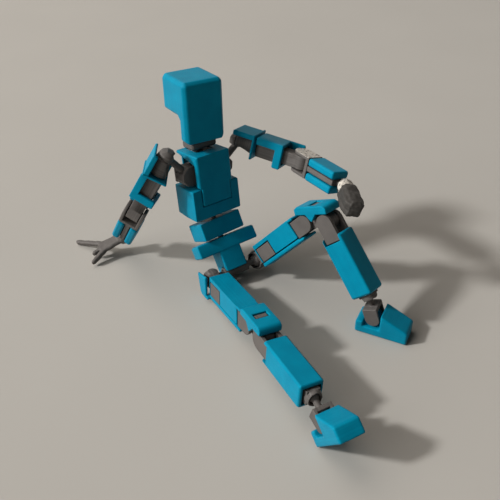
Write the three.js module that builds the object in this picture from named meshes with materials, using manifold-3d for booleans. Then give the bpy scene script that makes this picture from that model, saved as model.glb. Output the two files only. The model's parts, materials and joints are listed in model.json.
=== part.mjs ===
// Seated articulated figure: a grey snap-fit skeleton with teal armour clipped over it.
// Millimetres, +Z up. The figure faces -Y, its left side is +X, and it sits on the plane z = 0.
import * as THREE from 'three';
import { mergeVertices } from 'three/addons/utils/BufferGeometryUtils.js';
import Module from 'manifold-3d';

const wasm = await Module();
wasm.setup();

// Fits that every joint shares
const GAP = 0.3;
const EDGE = 0.5;
const SHELL = 0.9;
const SOCKET_WALL = 0.6;
const PIN = 1.0;
const PIN_RELIEF = 0.5;
const ROD = 1.1;
const THIN_ROD = 0.9;
const CHEEK = 1.0;
const CLIP = 1.0;

// Ball radii
const WAIST_BALL = 1.7;
const CHEST_BALL = 2.0;
const NECK_BALL = 1.9;
const HEAD_BALL = 2.3;
const SHOULDER_BALL = 2.2;
const WRIST_BALL = 1.7;
const HIP_BALL = 2.4;
const ANKLE_BALL = 1.6;

// Pelvis
const PLANK_WIDTH = 20.6;
const PLANK_DEPTH = 5.2;
const PLANK_HEIGHT = 4.3;
const CROTCH_DROP = 6.6;
const SEAT_DROP = 1.9;
const HIP_SPACING = 16.8;
const HIP_DROP = 9.25;
const HIP_FORWARD = 1.25;

// Abdomen
const WAIST_RISE = 5.35;
const WAIST_BARREL = 1.5;
const WAIST_BARREL_LENGTH = 5.0;
const ABDOMEN_WIDTH = 14.9;
const ABDOMEN_DEPTH = 8.6;
const ABDOMEN_HEIGHT = 5.7;
const ABDOMEN_BELOW = 2.2;

// Chest
const CHEST_RISE = 8.1;
const RIB_WIDTH = 17.0;
const RIB_DEPTH = 11.3;
const RIB_HEIGHT = 10.1;
const RIB_BELOW = 2.0;
const RIB_TAPER = 0.5;
const PLATE_WIDTH = 12.4;
const TAB_WIDTH = 10.4;
const TAB_DROP = 5.6;
const PLATE_PROUD = 0.5;
const PLATE_THICKNESS = 2.0;
const CHEST_TOP = 18.7;
const DECK_FRONT = 3.2;
const DECK_BACK = 0.9;
const BACK_PLATE_WIDTH = 9.0;

// Neck and head
const NECK_RISE = 17.0;
const NECK_BACK = 1.5;
const COLLAR_WIDTH = 9.0;
const COLLAR_DEPTH = 6.0;
const COLLAR_HEIGHT = 2.4;
const COLLAR_LIFT = 0.8;
const HEAD_RISE = 15.7;
const NECK_POST = 1.5;
const HEAD_WIDTH = 13.3;
const HEAD_DEPTH = 14.8;
const HEAD_HEIGHT = 18.7;
const HEAD_BELOW = 10.0;
const HEAD_BACK = 1.0;
const JAW_DEPTH = 4.4;
const JAW_HEIGHT = 7.5;
const HEAD_EDGE = 1.0;

// Shoulder
const SHOULDER_X = 6.1;
const SHOULDER_Z = 11.9;
const SHOULDER_REACH = 9.9;
const SHOULDER_BARREL = 3.3;
const SHOULDER_BARREL_LENGTH = 5.0;
const SHOULDER_FLAT = 3.0;
const SHOULDER_PEG = 1.2;
const EAR = 1.2;

// Upper arm
const ARM_BLOCK = 5.2;
const ARM_TOP_LENGTH = 5.8;
const ARM_FRONT = 1.6;
const ARM_BACK_DROP = 2.5;
const RING_GROOVE = 0.3;
const ARMOUR_WALL = 1.1;
const ARMOUR_RISE = 0.9;
const RIB_PLATE = 0.7;
const RIB_LIP = 0.25;
const SWIVEL_PEG = 1.5;
const SWIVEL_DEPTH = 3.3;
const BICEP_FRONT = 2.2;
const BICEP_BAND = 2.6;
const BICEP_SKIRT = 0.9;
const ELBOW_DROP = 22.2;
const ELBOW_CLEAR = 6.8;
const ELBOW_BARREL = 2.7;
const ELBOW_TONGUE = 4.2;
const ELBOW_CHEEK = 2.9;
const ELBOW_STOP = 1.0;
const TONGUE_NECK = 0.8;

// Forearm and hands
const WRIST_DROP = 19.9;
const WRIST_CLEAR = 2.8;
const FORK_LENGTH = 5.4;
const WEB = 1.3;
const SPINE = 1.6;
const FOREARM_WIDTH = 7.1;
const FOREARM_DEPTH = 6.5;
const SPINE_INSET = 0.6;
const HAND_ROOT = 2.0;
const PALM_LENGTH = 6.6;
const PALM_WIDTH = 5.2;
const PALM_THICKNESS = 1.8;
const FINGER = 1.7;
const FINGER_END = 0.7;
const LONG_FINGER = 12.4;
const LONG_SPREAD = 40;
const SHORT_FINGER = 6.6;
const SHORT_SPREAD = -34;
const STUB_LENGTH = 3.0;
const STUB_SPREAD = -15;
const FIST_WIDTH = 5.6;
const FIST_DEPTH = 5.5;
const FIST_LENGTH = 9.0;

// Thigh
const THIGH_LENGTH = 28.1;
const THIGH_WIDTH = 6.6;
const THIGH_DEPTH = 7.9;
const THIGH_START = 4.4;
const KNEE_CLEAR = 4.7;
const THIGH_LIP = 2.1;
const SHAFT_WIDTH = 4.0;
const SHAFT_DEPTH = 4.4;
const SPLIT_BACK = 2.3;
const WINDOW_LENGTH = 6.4;
const WINDOW_START = 1.0;
const HIP_COVER_FRONT = 1.7;
const HIP_COVER_BACK = 0.2;

// Knee
const KNEE_LINK = 7.6;
const KNEE_BARREL = 2.3;
const KNEE_WEB = 1.5;
const KNEE_TONGUE = 3.4;
const KNEE_CHEEK = 2.7;
const KNEECAP_WIDTH = 7.4;
const KNEECAP_LENGTH = 11.6;
const KNEECAP_THICKNESS = 2.6;
const KNEECAP_SLOPE = 0.8;
const KNEECAP_RUN = 1.2;
const LUG_HALF = 2.1;
const LUG_POINT = 0.9;
const SLOT_WIDTH = 3.8;
const SLOT_HEIGHT = 1.6;

// Shin
const SHIN_BALL_DROP = 24.6;
const SHIN_WIDTH = 7.3;
const SHIN_DEPTH = 7.4;
const SHIN_START = 4.2;
const ANKLE_CLEAR = 0.8;
const SHIN_CHEEK_TAIL = 6.0;

// Ankle and foot
const ANKLE_LINK = 7.2;
const ANKLE_CHEEK = 2.2;
const ANKLE_BARREL = 2.0;
const ANKLE_TONGUE = 3.0;
const FOOT_WIDTH = 7.4;
const FOOT_LENGTH = 15.7;
const FOOT_HEIGHT = 8.0;
const TOE_HEIGHT = 3.9;
const HEEL_HEIGHT = 4.3;
const HEEL_BACK = 4.8;
const ANKLE_HEIGHT = 5.1;

// Pose of the photographed figure, degrees about X, Y and Z; the right side is mirrored
const LEFT = 1;
const RIGHT = -1;
const ORIGIN = [0, 0, 0];
const PLANTED_YAW = 35.3;
const POSE = {
  pelvis: [-37.7, -3.7, 0],
  waist: [0, -1.5, 5.5],
  abdomen: [6.7, 0, 0],
  chest: [20.5, 3, 1],
  neck: [2.5, 0, 0],
  head: [2.5, 1, -6],
};
const ARM_POSE = {
  [LEFT]: { raise: 35, top: [-73.7, -26.8, -75.2], swivel: 0, elbow: -29.8, hand: [-25, 15, 2.6] },
  [RIGHT]: { raise: 49, top: [28.4, -23.2, 40], swivel: 12.7, elbow: 30.6, hand: [-53.2, -30.8, -34.8] },
};
const LEG_POSE = {
  [LEFT]: { thigh: [-105, -19.5, -7.5], knee: 26.5, shin: 70.5, ankle: ORIGIN, foot: 20.5 },
  [RIGHT]: { thigh: [-60.1, -3.5, -8.5], knee: 3.5, shin: 2, ankle: [19.5, 2.5, 6], foot: 19.5 },
};

// Facet counts and opening angles
const BALL_STEPS = 10;
const BALL_RINGS = 6;
const BARREL_STEPS = 14;
const PIN_STEPS = 10;
const ARC_STEPS = 4;
const ARM_OPENING = 62;
const ARM_MOUTH = [-0.97, -0.22, -0.06];
const HIP_OPENING = 62;
const WRIST_OPENING = 62;
const ANKLE_OPENING = 62;
const NECK_OPENING = 45;
const CHEST_OPENING = 60;
const OPEN_HAND_MOUTH = [0.5, -0.2, 0.85];
const FIST_MOUTH = [-0.4, -0.4, 0.82];
const CUT = 40;

// Finishes
const TEAL = { color: 0x0f93b4, roughness: 0.55, metalness: 0 };
const GREY = { color: 0x585450, roughness: 0.6, metalness: 0 };

const FACING = {
  x: new THREE.Matrix4().makeBasis(
    new THREE.Vector3(0, 1, 0), new THREE.Vector3(0, 0, 1), new THREE.Vector3(1, 0, 0)),
  y: new THREE.Matrix4().makeBasis(
    new THREE.Vector3(0, 0, 1), new THREE.Vector3(1, 0, 0), new THREE.Vector3(0, 1, 0)),
  z: new THREE.Matrix4(),
};

// Solids from closed geometry
function solid(geometry) {
  geometry.deleteAttribute('normal');
  geometry.deleteAttribute('uv');
  const merged = mergeVertices(geometry, 1e-4);
  const mesh = new wasm.Mesh({
    numProp: 3,
    vertProperties: Float32Array.from(merged.attributes.position.array),
    triVerts: Uint32Array.from(merged.index.array),
  });
  return new wasm.Manifold(mesh);
}

// An outline drawn as (y, z) for axis x, (z, x) for axis y or (x, y) for axis z, run along the axis
function extrude(shape, length, axis, place = ORIGIN, edge = 0) {
  const geometry = new THREE.ExtrudeGeometry(shape, {
    depth: length - 2 * edge,
    bevelEnabled: edge > 0,
    bevelSegments: 1,
    bevelSize: edge,
    bevelThickness: edge,
    bevelOffset: -edge,
    curveSegments: ARC_STEPS,
    steps: 1,
  });
  geometry.translate(0, 0, edge - length / 2);
  geometry.applyMatrix4(FACING[axis]);
  geometry.translate(...place);
  return solid(geometry);
}

function outline(points) {
  return new THREE.Shape(points.map(([u, v]) => new THREE.Vector2(u, v)));
}

// A block with chamfered edges, given by its two corners
function block(low, high, edge = EDGE) {
  const [w, d, h] = high.map((value, i) => value - low[i]);
  const centre = high.map((value, i) => (value + low[i]) / 2);
  const c = edge;
  const rim = outline([
    [w / 2 - c, -d / 2], [w / 2, c - d / 2], [w / 2, d / 2 - c], [w / 2 - c, d / 2],
    [c - w / 2, d / 2], [-w / 2, d / 2 - c], [-w / 2, c - d / 2], [c - w / 2, -d / 2],
  ]);
  return extrude(rim, h, 'z', centre, edge);
}

// A plain block for cuts and hidden cores
function box(low, high) {
  const size = high.map((value, i) => value - low[i]);
  const centre = high.map((value, i) => (value + low[i]) / 2);
  const geometry = new THREE.BoxGeometry(...size);
  geometry.translate(...centre);
  return solid(geometry);
}

function ball(radius, place = ORIGIN) {
  const geometry = new THREE.SphereGeometry(radius, BALL_STEPS, BALL_RINGS);
  geometry.translate(...place);
  return solid(geometry);
}

// A round bar between two coordinates on one axis, through a centre on the other two
function bar(radius, from, to, axis, place = ORIGIN) {
  const steps = radius < HIP_TUBE ? PIN_STEPS : BARREL_STEPS;
  const geometry = new THREE.CylinderGeometry(radius, radius, to - from, steps);
  geometry.rotateX(Math.PI / 2);
  geometry.translate(0, 0, (from + to) / 2);
  geometry.applyMatrix4(FACING[axis]);
  geometry.translate(...place);
  return solid(geometry);
}

// The flared mouth of a ball socket: a cone from the ball's centre along a direction
function mouth(reach, halfAngle, direction, place = ORIGIN) {
  const spread = reach * Math.tan(THREE.MathUtils.degToRad(halfAngle));
  const geometry = new THREE.ConeGeometry(spread, reach, PIN_STEPS);
  geometry.translate(0, -reach / 2, 0);
  const down = new THREE.Vector3(0, -1, 0);
  const turn = new THREE.Quaternion().setFromUnitVectors(down, new THREE.Vector3(...direction).normalize());
  geometry.applyQuaternion(turn);
  geometry.translate(...place);
  return solid(geometry);
}

// What a ball of a given radius needs cut out of its socket
function socket(radius, halfAngle, direction, place = ORIGIN) {
  return ball(radius + GAP, place).add(mouth(2 * radius, halfAngle, direction, place));
}

function joined(parts) {
  return parts.reduce((whole, part) => whole.add(part));
}

// A D outline in (y, z): round about the origin, with straight sides running to a tail
function dOutline(radius, tail, up) {
  const shape = new THREE.Shape();
  const sign = up ? 1 : -1;
  shape.moveTo(-sign * radius, sign * tail);
  shape.lineTo(-sign * radius, 0);
  shape.absarc(0, 0, radius, up ? Math.PI : 0, up ? 2 * Math.PI : Math.PI, false);
  shape.lineTo(sign * radius, sign * tail);
  return shape;
}

// Two D cheeks with inward pins, for a tongue of a given width turning at a height on the z axis
function fork(radius, tail, tongue, up, height = 0) {
  const inner = tongue / 2 + GAP;
  const cheeks = [LEFT, RIGHT].map((side) => {
    const middle = side * (inner + CHEEK / 2);
    const cheek = extrude(dOutline(radius, tail, up), CHEEK, 'x', [middle, 0, height]);
    const ends = [side * PIN_RELIEF, middle].sort((a, b) => a - b);
    return cheek.add(bar(PIN, ends[0], ends[1], 'x', [0, 0, height]));
  });
  return joined(cheeks);
}

// The bore through a tongue for its fork's pins
function pinBore(width, place = ORIGIN) {
  return bar(PIN + GAP, -width, width, 'x', place);
}

// Scene graph helpers
function mirrored(geometry) {
  const position = geometry.attributes.position;
  for (let i = 0; i < position.count; i += 1) {
    position.setX(i, -position.getX(i));
  }
  const index = geometry.index.array;
  for (let i = 0; i < index.length; i += 3) {
    const first = index[i];
    index[i] = index[i + 1];
    index[i + 1] = first;
  }
  return geometry;
}

function piece(parent, name, body, finish, side = LEFT) {
  const mesh = body.getMesh();
  const geometry = new THREE.BufferGeometry();
  geometry.setAttribute('position', new THREE.BufferAttribute(Float32Array.from(mesh.vertProperties), 3));
  geometry.setIndex(new THREE.BufferAttribute(Uint32Array.from(mesh.triVerts), 1));
  const sided = side === RIGHT ? mirrored(geometry) : geometry;
  sided.computeVertexNormals();
  const node = new THREE.Mesh(sided, new THREE.MeshStandardMaterial({ ...finish, flatShading: true }));
  node.name = name;
  parent.add(node);
  return node;
}

function segment(parent, name, place, turn, side = LEFT) {
  const group = new THREE.Group();
  group.name = name;
  group.position.set(side * place[0], place[1], place[2]);
  const [a, b, c] = turn.map((angle) => THREE.MathUtils.degToRad(angle));
  group.rotation.set(a, side * b, side * c, 'XYZ');
  parent.add(group);
  return group;
}

const sideName = (side) => (side === LEFT ? 'left' : 'right');

// Pelvis: the teal T, and the grey core with the waist socket and the hip tube
const PELVIS_CORE = 2 * (WAIST_BALL + GAP + SOCKET_WALL);
const CROTCH_HALF = PELVIS_CORE / 2 + GAP + SHELL;
const CROTCH_BOTTOM = PLANK_HEIGHT / 2 + CROTCH_DROP;
const HIP_TUBE = PIN + GAP + SOCKET_WALL;
const HIP_TUBE_HALF = CROTCH_HALF + EDGE;

function addPelvis(group) {
  const hip = [0, -HIP_FORWARD, -HIP_DROP];
  const half = PELVIS_CORE / 2;
  const room = half + GAP;
  const plank = block(
    [-PLANK_WIDTH / 2, -PLANK_DEPTH / 2, -PLANK_HEIGHT / 2],
    [PLANK_WIDTH / 2, PLANK_DEPTH / 2, PLANK_HEIGHT / 2]);
  const crotch = extrude(outline([
    [-CROTCH_HALF, PLANK_HEIGHT / 2], [-CROTCH_HALF, -CROTCH_BOTTOM],
    [CROTCH_HALF, -CROTCH_BOTTOM - SEAT_DROP], [CROTCH_HALF, PLANK_HEIGHT / 2],
  ]), 2 * CROTCH_HALF, 'x', ORIGIN, EDGE);
  const shell = plank.add(crotch)
    .subtract(box([-room, -room, -CUT], [room, room, CUT]))
    .subtract(bar(HIP_TUBE + GAP, -CUT, CUT, 'x', hip));
  piece(group, 'pelvis_shell', shell, TEAL);

  const core = box([-half, -half, -HIP_DROP], [half, half, PLANK_HEIGHT / 2])
    .add(bar(HIP_TUBE, -HIP_TUBE_HALF, HIP_TUBE_HALF, 'x', hip))
    .subtract(socket(WAIST_BALL, NECK_OPENING, [0, 0, 1]))
    .subtract(bar(PIN + GAP, PIN_RELIEF, CUT, 'x', hip))
    .subtract(bar(PIN + GAP, -CUT, -PIN_RELIEF, 'x', hip));
  piece(group, 'pelvis_frame', core, GREY);
}

// Waist link: ball in the pelvis, cross barrel in the abdomen
function addWaistLink(group) {
  const half = WAIST_BARREL_LENGTH / 2;
  const link = ball(WAIST_BALL)
    .add(bar(THIN_ROD, 0, WAIST_RISE, 'z'))
    .add(bar(WAIST_BARREL, -half, half, 'x', [0, 0, WAIST_RISE]));
  piece(group, 'waist_link', link, GREY);
}

// Abdomen: the grey core carries the chest stud, the teal box closes round it
function addAbdomen(group) {
  const top = ABDOMEN_HEIGHT - ABDOMEN_BELOW;
  const halfX = WAIST_BARREL_LENGTH / 2 + GAP + SOCKET_WALL;
  const halfY = WAIST_BARREL + GAP + SHELL;
  const barrelRoom = WAIST_BARREL_LENGTH / 2 + GAP;
  const slotX = THIN_ROD + GAP;
  const slotY = WAIST_BARREL + GAP;
  const core = box([-halfX, -halfY, -ABDOMEN_BELOW], [halfX, halfY, top])
    .subtract(bar(WAIST_BARREL + GAP, -barrelRoom, barrelRoom, 'x'))
    .subtract(box([-slotX, -slotY, -CUT], [slotX, slotY, 0]))
    .add(bar(THIN_ROD, top - EDGE, CHEST_RISE, 'z'))
    .add(ball(CHEST_BALL, [0, 0, CHEST_RISE]));
  piece(group, 'abdomen_frame', core, GREY);

  const shell = block(
    [-ABDOMEN_WIDTH / 2, -ABDOMEN_DEPTH / 2, -ABDOMEN_BELOW], [ABDOMEN_WIDTH / 2, ABDOMEN_DEPTH / 2, top], GAP)
    .subtract(box([-halfX - GAP, -halfY - GAP, -CUT], [halfX + GAP, halfY + GAP, CUT]));
  piece(group, 'abdomen_shell', shell, TEAL);
}

// Chest: grey core, lower rib box and upper shell with its raised front plate
const RIB_TOP = RIB_HEIGHT - RIB_BELOW;
const PLATE_FRONT = RIB_DEPTH / 2 + PLATE_PROUD;
const CORE_LOW = CHEST_BALL + GAP + 2 * SOCKET_WALL;
const CORE_HIGH = NECK_BALL + GAP + SOCKET_WALL - GAP / 2;
const EAR_FRONT = SHOULDER_BARREL_LENGTH / 2 + GAP;
const CORE_BACK = NECK_BACK + NECK_BALL + GAP + SOCKET_WALL;
const DECK_HOLE_FRONT = NECK_BACK - NECK_BALL - GAP - SOCKET_WALL;

function addChest(group) {
  const neck = [0, NECK_BACK, NECK_RISE];
  const coreTop = CHEST_TOP - GAP;
  const pegs = [LEFT, RIGHT].map((side) => bar(
    SHOULDER_PEG, 2 * GAP - SHOULDER_BARREL_LENGTH / 4, EAR_FRONT + EAR / 2, 'y',
    [side * SHOULDER_X, 0, SHOULDER_Z]));
  const earHeight = SHOULDER_PEG + EAR;
  const ear = extrude(
    outline([
      [SHOULDER_Z - earHeight, -SHOULDER_X - earHeight], [SHOULDER_Z + earHeight, -SHOULDER_X - earHeight],
      [SHOULDER_Z + earHeight, SHOULDER_X + earHeight], [SHOULDER_Z - earHeight, SHOULDER_X + earHeight],
    ]), EAR, 'y', [0, EAR_FRONT + EAR / 2, 0]);
  const core = box([-CORE_LOW, -CORE_LOW, -RIB_BELOW], [CORE_LOW, CORE_LOW, RIB_TOP + GAP + EDGE])
    .add(box([-CORE_HIGH, DECK_HOLE_FRONT, RIB_TOP + GAP], [CORE_HIGH, CORE_BACK, coreTop]))
    .add(ear)
    .add(joined(pegs))
    .subtract(socket(CHEST_BALL, CHEST_OPENING, [0, 0, -1]))
    .subtract(socket(NECK_BALL, NECK_OPENING, [0, 0, 1], neck));
  piece(group, 'chest_frame', core, GREY);

  const room = CORE_LOW + GAP;
  const tabBack = PLATE_FRONT - CLIP;
  const ribX = RIB_WIDTH / 2;
  const ribY = RIB_DEPTH / 2;
  const ribs = extrude(outline([
    [-ribX, -ribY], [ribX, -ribY], [ribX, 0], [ribX - RIB_TAPER, ribY], [RIB_TAPER - ribX, ribY], [-ribX, 0],
  ]), RIB_HEIGHT, 'z', [0, 0, RIB_HEIGHT / 2 - RIB_BELOW], GAP)
    .subtract(box([-room, -room, -CUT], [room, room, CUT]))
    .subtract(box(
      [-TAB_WIDTH / 2 - GAP, -CUT, RIB_TOP - TAB_DROP - GAP], [TAB_WIDTH / 2 + GAP, GAP - tabBack, CUT]));
  piece(group, 'rib_shell', ribs, TEAL);

  const plateLow = RIB_TOP + GAP;
  const deckBack = CORE_BACK + GAP + CLIP;
  const plateBack = PLATE_THICKNESS - PLATE_FRONT;
  const upper = extrude(outline([
    [-PLATE_FRONT, plateLow], [plateBack, plateLow], [plateBack, CHEST_TOP - DECK_FRONT],
    [deckBack, CHEST_TOP - DECK_BACK], [deckBack, CHEST_TOP], [-PLATE_FRONT, CHEST_TOP],
  ]), PLATE_WIDTH, 'x', ORIGIN, EDGE);
  const tab = block(
    [-TAB_WIDTH / 2, -PLATE_FRONT, RIB_TOP - TAB_DROP], [TAB_WIDTH / 2, -tabBack, RIB_TOP + CLIP], GAP);
  const backX = BACK_PLATE_WIDTH / 2;
  const backPlate = block([-backX, deckBack - CLIP, plateLow], [backX, deckBack, CHEST_TOP - EDGE], GAP);
  const holeX = CORE_HIGH + GAP;
  const hole = box([-holeX, DECK_HOLE_FRONT - GAP, -CUT], [holeX, CORE_BACK + GAP, CUT]);
  piece(group, 'chest_shell', joined([upper, tab, backPlate]).subtract(hole), TEAL);
}

// Neck: ball, collar block, post and ball
function addNeck(group) {
  const collarLow = CHEST_TOP - NECK_RISE + COLLAR_LIFT;
  const collar = block(
    [-COLLAR_WIDTH / 2, -COLLAR_DEPTH / 2 - EDGE, collarLow],
    [COLLAR_WIDTH / 2, COLLAR_DEPTH / 2 - EDGE, collarLow + COLLAR_HEIGHT]);
  const link = ball(NECK_BALL)
    .add(bar(ROD, 0, collarLow + EDGE, 'z'))
    .add(collar)
    .add(bar(NECK_POST, collarLow, HEAD_RISE, 'z'))
    .add(ball(HEAD_BALL, [0, 0, HEAD_RISE]));
  piece(group, 'neck_link', link, GREY);
}

// Head: a plain block with the nape cut away behind the jaw
function addHead(group) {
  const front = HEAD_BACK - HEAD_DEPTH / 2;
  const back = HEAD_BACK + HEAD_DEPTH / 2;
  const top = HEAD_HEIGHT - HEAD_BELOW;
  const nape = JAW_HEIGHT - HEAD_BELOW;
  const jaw = front + JAW_DEPTH;
  const c = HEAD_EDGE;
  const profile = outline([
    [front, -HEAD_BELOW], [jaw, -HEAD_BELOW], [jaw, nape - c], [jaw + c, nape], [back, nape],
    [back, top - c], [back - c, top], [front + c, top], [front, top - c],
  ]);
  const head = extrude(profile, HEAD_WIDTH, 'x', ORIGIN, c)
    .subtract(socket(HEAD_BALL, NECK_OPENING, [0, 0, -1]));
  piece(group, 'head_shell', head, TEAL);
}

// Shoulder link: D barrel on the chest peg, rod and ball
function addShoulderLink(group, side) {
  const disc = new THREE.Shape();
  const open = Math.acos(SHOULDER_FLAT / SHOULDER_BARREL);
  const quarter = Math.PI / 2;
  disc.absarc(0, 0, SHOULDER_BARREL, quarter + open, 5 * quarter - open, false);
  const link = extrude(disc, SHOULDER_BARREL_LENGTH, 'y')
    .subtract(bar(SHOULDER_PEG + GAP, -SHOULDER_BARREL_LENGTH / 4, CUT, 'y'))
    .add(bar(ROD, SHOULDER_FLAT - EDGE, SHOULDER_REACH, 'x'))
    .add(ball(SHOULDER_BALL, [SHOULDER_REACH, 0, 0]));
  piece(group, `shoulder_link_${sideName(side)}`, link, GREY, side);
}

// Arm top: domed ball socket with the swivel peg, and the teal shell with its thin rib
const ARM_DOME = SHOULDER_BALL + GAP + SOCKET_WALL;
const ARM_ROOM = ARM_DOME + GAP;
const ARM_OUTER = ARM_ROOM + SHELL;
const SWIVEL_DROP = ARM_TOP_LENGTH + GAP + RIB_PLATE + GAP;

function addArmTop(group, side) {
  const ring = bar(CUT, -RING_GROOVE, RING_GROOVE, 'z')
    .subtract(bar(ARM_DOME - RING_GROOVE, -CUT, CUT, 'z'));
  const frame = bar(ARM_DOME, -ARM_TOP_LENGTH, 0, 'z')
    .add(ball(ARM_DOME))
    .subtract(ring)
    .subtract(socket(SHOULDER_BALL, ARM_OPENING, ARM_MOUTH))
    .add(bar(SWIVEL_PEG, -SWIVEL_DROP - SWIVEL_DEPTH, -ARM_TOP_LENGTH + EDGE, 'z'));
  piece(group, `arm_top_frame_${sideName(side)}`, frame, GREY, side);

  const floorTop = -ARM_TOP_LENGTH - GAP;
  const floorLow = floorTop - RIB_PLATE;
  const skirt = ARM_OUTER - ARM_FRONT;
  const plate = extrude(outline([
    [ARM_OUTER, ARM_OUTER], [ARM_ROOM, ARM_OUTER], [ARM_ROOM, -ARM_ROOM],
    [skirt, -ARM_ROOM], [skirt, -ARM_OUTER], [ARM_OUTER, -ARM_OUTER],
  ]), ARMOUR_RISE - floorLow, 'z', [0, 0, (ARMOUR_RISE + floorLow) / 2], GAP);
  const backWall = block([-ARM_ROOM, ARM_ROOM, floorLow], [ARM_OUTER, ARM_OUTER, -ARM_BACK_DROP], GAP);
  const edge = ARM_OUTER + RIB_LIP;
  const rib = block([-ARM_ROOM, -edge, floorLow], [edge, edge, floorTop], GAP / 2)
    .subtract(bar(SWIVEL_PEG + GAP, -CUT, CUT, 'z'));
  piece(group, `shoulder_armour_${sideName(side)}`, joined([plate, backWall, rib]), TEAL, side);
}

// Bicep: grey block with the elbow tongue, and the teal channel with its band and elbow lip
const BICEP_HALF_X = ARM_BLOCK / 2;
const BICEP_HALF_Y = ARM_BLOCK / 2 - GAP;
const ELBOW_Z = SWIVEL_DROP - ELBOW_DROP;
const BICEP_LENGTH = -ELBOW_Z - ELBOW_CLEAR;

function addBicep(group, side) {
  const tongue = ELBOW_TONGUE / 2;
  const neck = ELBOW_BARREL * TONGUE_NECK;
  const frame = block([-BICEP_HALF_X, -BICEP_HALF_Y, -BICEP_LENGTH], [BICEP_HALF_X, BICEP_HALF_Y, 0], GAP)
    .subtract(bar(SWIVEL_PEG + GAP, -SWIVEL_DEPTH - GAP, CUT, 'z'))
    .add(box([-tongue, -neck, ELBOW_Z], [tongue, neck, -BICEP_LENGTH + EDGE]))
    .add(bar(ELBOW_BARREL, -tongue, tongue, 'x', [0, 0, ELBOW_Z]))
    .subtract(pinBore(CUT, [0, 0, ELBOW_Z]));
  piece(group, `bicep_frame_${sideName(side)}`, frame, GREY, side);

  const roomX = BICEP_HALF_X + GAP;
  const roomY = BICEP_HALF_Y + GAP;
  const outX = roomX + ARMOUR_WALL;
  const outY = roomY + ARMOUR_WALL;
  const low = -BICEP_LENGTH - BICEP_SKIRT;
  const lipInner = ELBOW_CHEEK + GAP;
  const skirt = outX - BICEP_FRONT;
  const walls = extrude(outline([
    [outX, outY], [-BICEP_HALF_X, outY], [-BICEP_HALF_X, roomY], [roomX, roomY],
    [roomX, -roomY], [skirt, -roomY], [skirt, -outY], [outX, -outY],
  ]), -low, 'z', [0, 0, low / 2], GAP);
  const band = block([-outX, -outY, low], [outX, outY, low + BICEP_BAND], GAP)
    .subtract(box([-roomX, -roomY, -CUT], [roomX, roomY, CUT]));
  const lipOuter = Math.max(outY, lipInner + SHELL);
  const lip = block([-BICEP_HALF_X, lipInner, ELBOW_Z + ELBOW_STOP], [outX, lipOuter, low + EDGE], GAP);
  piece(group, `bicep_armour_${sideName(side)}`, joined([walls, band, lip]), TEAL, side);
}

const FOREARM_PLATE = WRIST_DROP - FORK_LENGTH - GAP - WRIST_CLEAR;

// Forearm: elbow fork, spine and wrist ball, with a teal half box either side of the spine
function addForearm(group, side) {
  const outer = ELBOW_TONGUE / 2 + GAP + CHEEK;
  const webTop = WEB - FORK_LENGTH;
  const plateTop = -FORK_LENGTH - GAP;
  const plateLow = plateTop - FOREARM_PLATE;
  const spineHalf = FOREARM_DEPTH / 2 - SPINE_INSET;
  const bossHalf = spineHalf / 2;
  const bossTop = plateTop - FOREARM_PLATE / 4;
  const bossLow = plateLow + FOREARM_PLATE / 4;
  const bossX = SPINE / 2 + CLIP;
  const frame = fork(ELBOW_CHEEK, FORK_LENGTH, ELBOW_TONGUE, false)
    .add(box([-outer, -ELBOW_CHEEK, -FORK_LENGTH], [outer, ELBOW_CHEEK, webTop]))
    .add(box([-SPINE / 2, -spineHalf, plateLow + GAP], [SPINE / 2, spineHalf, webTop]))
    .add(box([-bossX, -bossHalf, bossLow], [bossX, bossHalf, bossTop]))
    .add(bar(THIN_ROD, -WRIST_DROP, plateLow + EDGE, 'z'))
    .add(ball(WRIST_BALL, [0, 0, -WRIST_DROP]));
  piece(group, `forearm_frame_${sideName(side)}`, frame, GREY, side);

  const pocketX = bossX + GAP;
  const pocketY = bossHalf + GAP;
  const pocket = box([-pocketX, -pocketY, bossLow - GAP], [pocketX, pocketY, bossTop + GAP]);
  const inner = SPINE / 2 + GAP;
  const plateY = FOREARM_DEPTH / 2;
  const plate = block([inner, -plateY, plateLow], [FOREARM_WIDTH / 2, plateY, plateTop]).subtract(pocket);
  piece(group, `forearm_plate_outer_${sideName(side)}`, plate, TEAL, side);
  piece(group, `forearm_plate_inner_${sideName(side)}`, plate, TEAL, -side);
}

// Open hand: wrist cup, palm, two spread fingers, a folded stub between them
function finger(length, spread, root) {
  const shape = outline([
    [-FINGER / 2, 0], [-FINGER_END, -length + FINGER / 2], [0, -length],
    [FINGER_END, -length + FINGER / 2], [FINGER / 2, 0],
  ]);
  return extrude(shape, FINGER, 'x', ORIGIN, GAP).rotate([spread, 0, 0]).translate(root);
}

function addOpenHand(group, side) {
  const cup = WRIST_BALL + GAP + SOCKET_WALL;
  const palmEnd = -cup - PALM_LENGTH;
  const palm = extrude(outline([
    [-HAND_ROOT, -CLIP], [HAND_ROOT, -CLIP], [PALM_WIDTH / 2, palmEnd + FINGER],
    [PALM_WIDTH / 2 - FINGER / 2, palmEnd], [-PALM_WIDTH / 4, palmEnd], [-PALM_WIDTH / 2, palmEnd + FINGER],
  ]), PALM_THICKNESS, 'x', ORIGIN, EDGE);
  const knuckle = palmEnd + FINGER;
  const fingers = [
    finger(LONG_FINGER, LONG_SPREAD, [0, PALM_WIDTH / 4, knuckle]),
    finger(SHORT_FINGER, SHORT_SPREAD, [0, FINGER / 2 - PALM_WIDTH / 2, knuckle]),
    finger(STUB_LENGTH + FINGER, STUB_SPREAD, [0, 0, knuckle]),
  ];
  const hand = joined([ball(cup), palm, ...fingers])
    .subtract(socket(WRIST_BALL, WRIST_OPENING, OPEN_HAND_MOUTH));
  piece(group, `hand_${sideName(side)}`, hand, GREY, side);
}

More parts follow.
